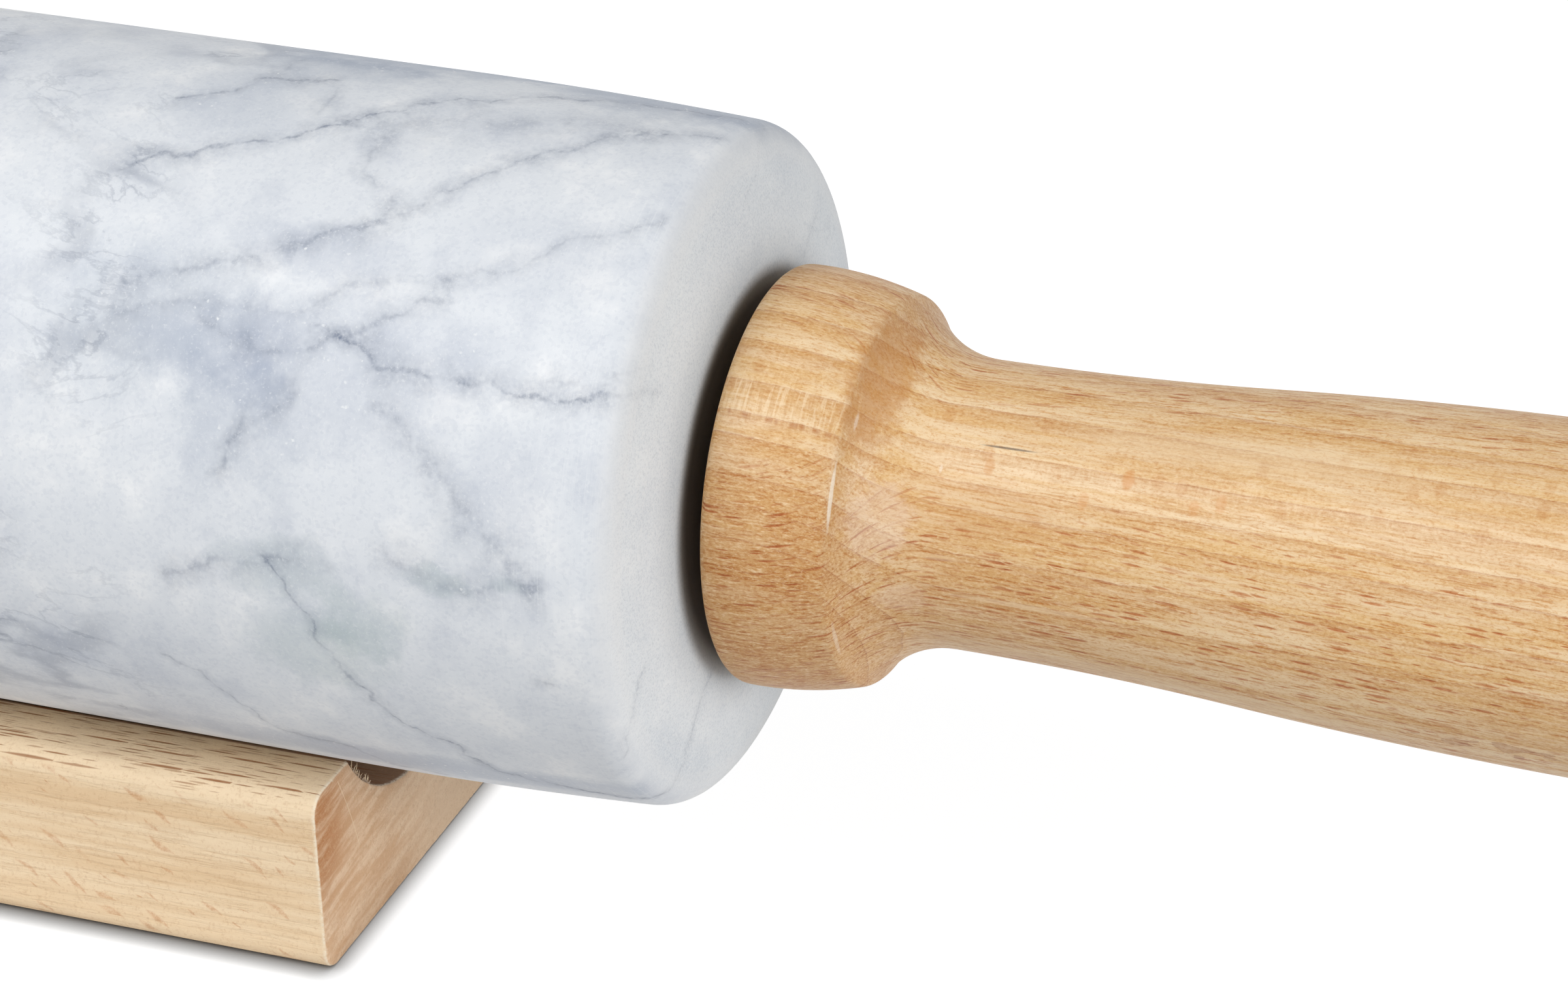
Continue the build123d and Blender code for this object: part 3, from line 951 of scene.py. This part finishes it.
def roller_outline():
    side_end = (ROLLER_END - CROWN_LENGTH, ROLLER_RADIUS)
    corner = (ROLLER_END - FACE_FALL, ROLLER_RADIUS - CROWN_DROP)
    flat_edge = (ROLLER_END, FACE_FLAT_RADIUS)
    crown = tangent_arc(side_end, (1, 0), corner, CROWN_STEPS)
    dome = tangent_arc(flat_edge, (0, 1), corner, CROWN_STEPS)[::-1]
    right = softened(crown, dome, RIM_REACH, RIM_STEPS)
    right.append((ROLLER_END, SEAT_RADIUS))
    right.append((ROLLER_END - SEAT_DEPTH, SEAT_RADIUS))
    right.append((ROLLER_END - SEAT_DEPTH, THROUGH_BORE_RADIUS))
    left = [(-along, radius) for along, radius in reversed(right)]
    return left + right


def handle_outline():
    face_corner = (HANDLE_FACE, COLLAR_RADIUS)
    ridge = (HANDLE_FACE + COLLAR_LENGTH, COLLAR_RIDGE_RADIUS)
    neck = (HANDLE_FACE + NECK_POSITION, NECK_RADIUS)
    swell = (HANDLE_FACE + GRIP_SWELL_POSITION, GRIP_SWELL_RADIUS)
    turn = tuple(a + (b - a) * GRIP_TURN_SHARE for a, b in zip(neck, swell))
    face = [(HANDLE_FACE, SOCKET_RADIUS), (HANDLE_FACE, COLLAR_RADIUS / 2), face_corner]
    collar = bulged_arc(face_corner, ridge, COLLAR_BULGE)
    cove = tangent_arc(neck, (-1, 0), ridge)[::-1]
    hollow = tangent_arc(neck, (1, 0), turn)
    full = tangent_arc(swell, (-1, 0), turn)[::-1]
    reach = HANDLE_TIP - swell[0]
    nose = []
    nose_steps = ARC_STEPS * 2
    for step in range(1, nose_steps):
        angle = math.pi / 2 * (1 - step / nose_steps)
        nose.append((swell[0] + reach * math.cos(angle), GRIP_SWELL_RADIUS * math.sin(angle)))
    outline = softened(softened(face, collar, COLLAR_EDGE_REACH), cove, RIDGE_REACH)
    outline += hollow[1:] + full[1:] + nose
    outline.append((HANDLE_TIP, 0.0))
    outline.append((SOCKET_END, 0.0))
    outline.append((SOCKET_END, SOCKET_RADIUS))
    return outline


def new_object(name, shape, material):
    """A mesh object from a bmesh, smooth except at its sharp edges."""
    bmesh.ops.recalc_face_normals(shape, faces=shape.faces)
    for face in shape.faces:
        face.smooth = True
    for edge in shape.edges:
        if len(edge.link_faces) == 2 and edge.calc_face_angle() > SHARP_ANGLE:
            edge.smooth = False
    mesh = bpy.data.meshes.new(name)
    shape.to_mesh(mesh)
    shape.free()
    mesh.materials.append(material)
    made = bpy.data.objects.new(name, mesh)
    bpy.context.scene.collection.objects.link(made)
    return made


def lathe(name, outline, material):
    """A closed outline turned about the pin's axis."""
    shape = bmesh.new()
    rings = []
    for along, radius in outline:
        if radius == 0:
            rings.append([shape.verts.new((along, 0, AXIS_HEIGHT))])
            continue
        ring = []
        for segment in range(LATHE_SEGMENTS):
            angle = 2 * math.pi * segment / LATHE_SEGMENTS
            up = AXIS_HEIGHT + radius * math.sin(angle)
            ring.append(shape.verts.new((along, radius * math.cos(angle), up)))
        rings.append(ring)
    for ring, following in zip(rings, rings[1:] + rings[:1]):
        if len(ring) == 1 and len(following) == 1:
            continue
        for segment in range(LATHE_SEGMENTS):
            after = (segment + 1) % LATHE_SEGMENTS
            corners = [ring[segment % len(ring)], ring[after % len(ring)]]
            corners += [following[after % len(following)], following[segment % len(following)]]
            shape.faces.new(list(dict.fromkeys(corners)))
    return new_object(name, shape, material)


def even_points(corners, gap):
    """Points at about even gaps along a closed line."""
    corners = [Vector(corner) for corner in corners]
    points = []
    for start, end in zip(corners, corners[1:] + corners[:1]):
        count = max(1, round((end - start).length / gap))
        for step in range(count):
            points.append(start.lerp(end, step / count))
    return points


def stand_section():
    """The cradle's outline across its length, as (towards the back, up) points."""
    height = stand_high.z
    bend = STAND_EDGE_ROUND
    centre = stand_high.y - bend
    corners = []
    for level, start in ((bend, -90), (height - bend, 0)):
        for step in range(STAND_EDGE_STEPS + 1):
            angle = math.radians(start + 90 * step / STAND_EDGE_STEPS)
            corners.append((centre + bend * math.cos(angle), level + bend * math.sin(angle)))
    reach = math.acos((GROOVE_CENTRE_HEIGHT - height) / GROOVE_RADIUS)
    groove = []
    for step in range(GROOVE_STEPS + 1):
        angle = reach * (1 - 2 * step / GROOVE_STEPS)
        up = GROOVE_CENTRE_HEIGHT - GROOVE_RADIUS * math.cos(angle)
        groove.append((GROOVE_RADIUS * math.sin(angle), up))
    mirrored = [(-across, up) for across, up in reversed(corners)]
    return even_points(corners + groove + mirrored, STAND_POINT_GAP)


def closed_skin(shape, loops):
    """Faces between loops of equally many points, and one across each end."""
    for loop, following in zip(loops, loops[1:]):
        for index in range(len(loop)):
            after = (index + 1) % len(loop)
            shape.faces.new((loop[index], loop[after], following[after], following[index]))
    shape.faces.new(loops[0])
    shape.faces.new(loops[-1])


def stand_block(material):
    """The cradle, with sharp ends whose edges are a little broken and frayed."""
    chance = random.Random(SEED)
    section = stand_section()
    inward = []
    for before, after in zip(section[-1:] + section[:-1], section[1:] + section[:1]):
        along = after - before
        inward.append(Vector((-along.y, along.x)).normalized())
    left = []
    for reach, depth in END_BREAKS:
        left.append((reach * STAND_END_BREAK - stand_high.x, depth * STAND_END_BREAK))
    right = [(-place, depth) for place, depth in reversed(left)]
    stations = [*left, (0.0, 0.0), *right]
    shape = bmesh.new()
    loops = []
    for place, depth in stations:
        loop = []
        for point, inner in zip(section, inward):
            fray = chance.uniform(0, FRAY) if depth else 0
            spot = point + inner * (depth + fray)
            loop.append(shape.verts.new((place, spot.x, max(spot.y, 0.0))))
        loops.append(loop)
    closed_skin(shape, loops)
    return new_object("stand_block", shape, material)


# Torn fibres that stand up from the near edge of the groove at the right end
FIBRE_COUNT = 26
FIBRE_RADIUS = 0.05 * MM
FIBRE_LENGTH = (0.4 * MM, 1.3 * MM)
FIBRE_FIRST = -12.4 * MM
FIBRE_LAST = -9.0 * MM
FIBRE_INSET = 0.5 * MM
FIBRE_STEPS = 7
FIBRE_TAPER = 0.7
FIBRE_HEADING = (-5, 75)
FIBRE_CURL = (-16, 14)


def torn_fibres(material):
    """Thin curled fibres, all in one mesh, inside the block's own outline."""
    chance = random.Random(SEED + 1)
    shape = bmesh.new()
    for number in range(FIBRE_COUNT):
        share = (number + chance.random()) / FIBRE_COUNT
        across = FIBRE_FIRST + (FIBRE_LAST - FIBRE_FIRST) * share
        spot = Vector((0, across, GROOVE_CENTRE_HEIGHT - math.sqrt(GROOVE_RADIUS**2 - across**2)))
        spot.x = stand_high.x - FIBRE_INSET * chance.uniform(0.5, 1.0)
        heading = math.radians(chance.uniform(*FIBRE_HEADING))
        curl = math.radians(chance.uniform(*FIBRE_CURL))
        step = chance.uniform(*FIBRE_LENGTH) * (1 - 0.5 * share) / FIBRE_STEPS
        loops = []
        for index in range(FIBRE_STEPS + 1):
            radius = FIBRE_RADIUS * (1 - FIBRE_TAPER * index / FIBRE_STEPS)
            side = Vector((0, -math.sin(heading), math.cos(heading)))
            corners = (Vector((1, 0, 0)), side - Vector((0.5, 0, 0)), -side - Vector((0.5, 0, 0)))
            loops.append([shape.verts.new(spot + corner * radius) for corner in corners])
            spot = spot + Vector((0, math.cos(heading), math.sin(heading))) * step
            heading += curl
        closed_skin(shape, loops)
    return new_object("torn_fibres", shape, material)


# Pieces
steel = plain_part("drawn_steel", tone(205, 206, 209), 0.26, 1.0, 0.05)
nylon = plain_part("moulded_nylon", tone(62, 60, 60), 0.5, 0.0, 1.0)
brass = plain_part("turned_brass", tone(214, 178, 104), 0.3, 1.0, 6.0)
for node, material in (
    ("axle_rod", steel),
    ("left_bushing", nylon),
    ("right_bushing", nylon),
    ("left_washer", nylon),
    ("right_washer", nylon),
    ("left_insert", brass),
    ("right_insert", brass),
):
    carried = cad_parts[node]
    carried.data.materials.clear()
    carried.data.materials.append(material)

right_look = WoodLook(
    ray_angle=-35.0,
    level=0.0,
    ring_lines=HANDLE_RINGS,
    lean=HANDLE_RING_LEAN,
    shift=0.0,
    pale=BEECH_PALE,
    middle=BEECH_MIDDLE,
    deep=BEECH_DEEP,
    ray=BEECH_RAY,
    roughness=0.45,
)
left_look = right_look._replace(ray_angle=35.0, shift=310.0)
stand_look = WoodLook(
    ray_angle=84.0,
    level=STAND_LEVEL,
    ring_lines=STAND_RINGS,
    lean=0.0,
    shift=90.0,
    pale=RAW_PALE,
    middle=RAW_MIDDLE,
    deep=RAW_DEEP,
    ray=RAW_RAY,
    roughness=0.6,
)

roller = lathe("marble_body", roller_outline(), marble())
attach(roller, "roller")
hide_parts("marble_roller")

for side, look in (("right", right_look), ("left", left_look)):
    outline = handle_outline()
    if side == "left":
        outline = [(-along, radius) for along, radius in outline]
    marks = HANDLE_MARKS if side == "right" else ()
    beech = lacquered_beech(f"{side}_lacquered_beech", look, marks)
    turned_handle = lathe(f"{side}_turned_handle", outline, beech)
    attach(turned_handle, "handles")
    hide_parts(f"{side}_handle")

stand_beech = planed_beech("planed_beech", stand_look)
block = stand_block(stand_beech)
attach(block, "cradle")
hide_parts("stand")
fibres = torn_fibres(stand_beech)
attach(fibres, "cradle")


# Camera
def camera_axes():
    """The camera's right, up and backward directions."""
    yaw, pitch, roll = (math.radians(angle) for angle in (CAMERA_YAW, CAMERA_PITCH, CAMERA_ROLL))
    back = Vector((math.sin(yaw) * math.cos(pitch), -math.cos(yaw) * math.cos(pitch), math.sin(pitch)))
    level = Vector((math.cos(yaw), math.sin(yaw), 0))
    upright = back.cross(level)
    right = level * math.cos(roll) + upright * math.sin(roll)
    up = upright * math.cos(roll) - level * math.sin(roll)
    return right, up, back


camera_data = bpy.data.cameras.new("camera")
camera_data.sensor_width = SENSOR_WIDTH_MM
camera_data.lens = FOCAL_LENGTH_PX / IMAGE_WIDTH_PX * SENSOR_WIDTH_MM
camera = bpy.data.objects.new("camera", camera_data)
camera.matrix_world = Matrix.Translation(CAMERA_PLACE) @ Matrix(camera_axes()).transposed().to_4x4()
bpy.context.scene.collection.objects.link(camera)
bpy.context.scene.camera = camera


# Floor: its two tones as the object is lit by them, and its tone and glow where a ray looks at it
FLOOR_HALF = 3.0
FLOOR_WHITE = tone(217, 217, 217)
FLOOR_GREY = tone(213, 213, 213)
FLOOR_TAKE = tone(118, 118, 118)
FLOOR_GLOW = 0.945

# Painted contact shadow: the floor's glow darkened by ambient occlusion where the block stands on it
CONTACT_REACH = 2.0 * MM
CONTACT_DEPTH = 1.7
CONTACT_SAMPLES = 16

# Lamps: place in metres, width and height in metres, power in watts. Both aim at the roller's right end.
WORLD_STRENGTH = 0.2
LAMPS = {
    "key": ((-1.36, -1.66, 2.80), (2.2, 1.7), 92.0),
    "end": ((2.9, -1.1, 0.9), (1.4, 1.4), 46.0),
}


def white_floor():
    """A plain floor that looks white, keeps the shadow, and gives no more light than its own tone."""
    shape = bmesh.new()
    corners = [(-1, -1), (1, -1), (1, 1), (-1, 1)]
    shape.faces.new([shape.verts.new((x * FLOOR_HALF, y * FLOOR_HALF, 0)) for x, y in corners])
    mat = Material("white_surface")
    seen = mat.looking_rays()
    # Painted contact shadow in the glow, from ambient occlusion
    contact_shadow = mat.node("ShaderNodeAmbientOcclusion", {"Distance": CONTACT_REACH}, samples=CONTACT_SAMPLES)
    glow = mat.read(contact_shadow, "AO") ** CONTACT_DEPTH * FLOOR_GLOW
    grain = mat.noise(mat.place(), 0.02, 2.0)
    level = mat.mix(mat.ramp(grain, 0.3, 0.7), FLOOR_WHITE, FLOOR_GREY)
    paper = mat.node("ShaderNodeBsdfDiffuse", {"Color": mat.mix(seen, level, FLOOR_TAKE)})
    light = mat.node("ShaderNodeEmission", {"Strength": seen * glow})
    mat.show(mat.node("ShaderNodeAddShader", {0: mat.read(paper, 0), 1: mat.read(light, 0)}))
    floor = new_object("floor", shape, mat.owner)


def studio_world():
    """White where a ray looks at it, and faint as a light."""
    world = bpy.data.worlds.new("studio")
    bpy.context.scene.world = world
    sky = Nodes(world, "ShaderNodeOutputWorld")
    level = sky.ramp(sky.looking_rays(), 0.0, 1.0, WORLD_STRENGTH, 1.0)
    sky.show(sky.node("ShaderNodeBackground", {"Color": (1, 1, 1, 1), "Strength": level}))


def soft_lamp(name, place, size, power):
    data = bpy.data.lights.new(name, "AREA")
    data.shape = "RECTANGLE"
    data.size, data.size_y = size
    data.energy = power
    lamp = bpy.data.objects.new(name, data)
    lamp.location = place
    aim = Vector((ROLLER_END, 0, AXIS_HEIGHT)) - Vector(place)
    lamp.rotation_euler = aim.to_track_quat("-Z", "Y").to_euler()
    bpy.context.scene.collection.objects.link(lamp)


white_floor()
studio_world()
for lamp_name, values in LAMPS.items():
    soft_lamp(lamp_name, *values)

bpy.context.scene.view_settings.view_transform = "Standard"
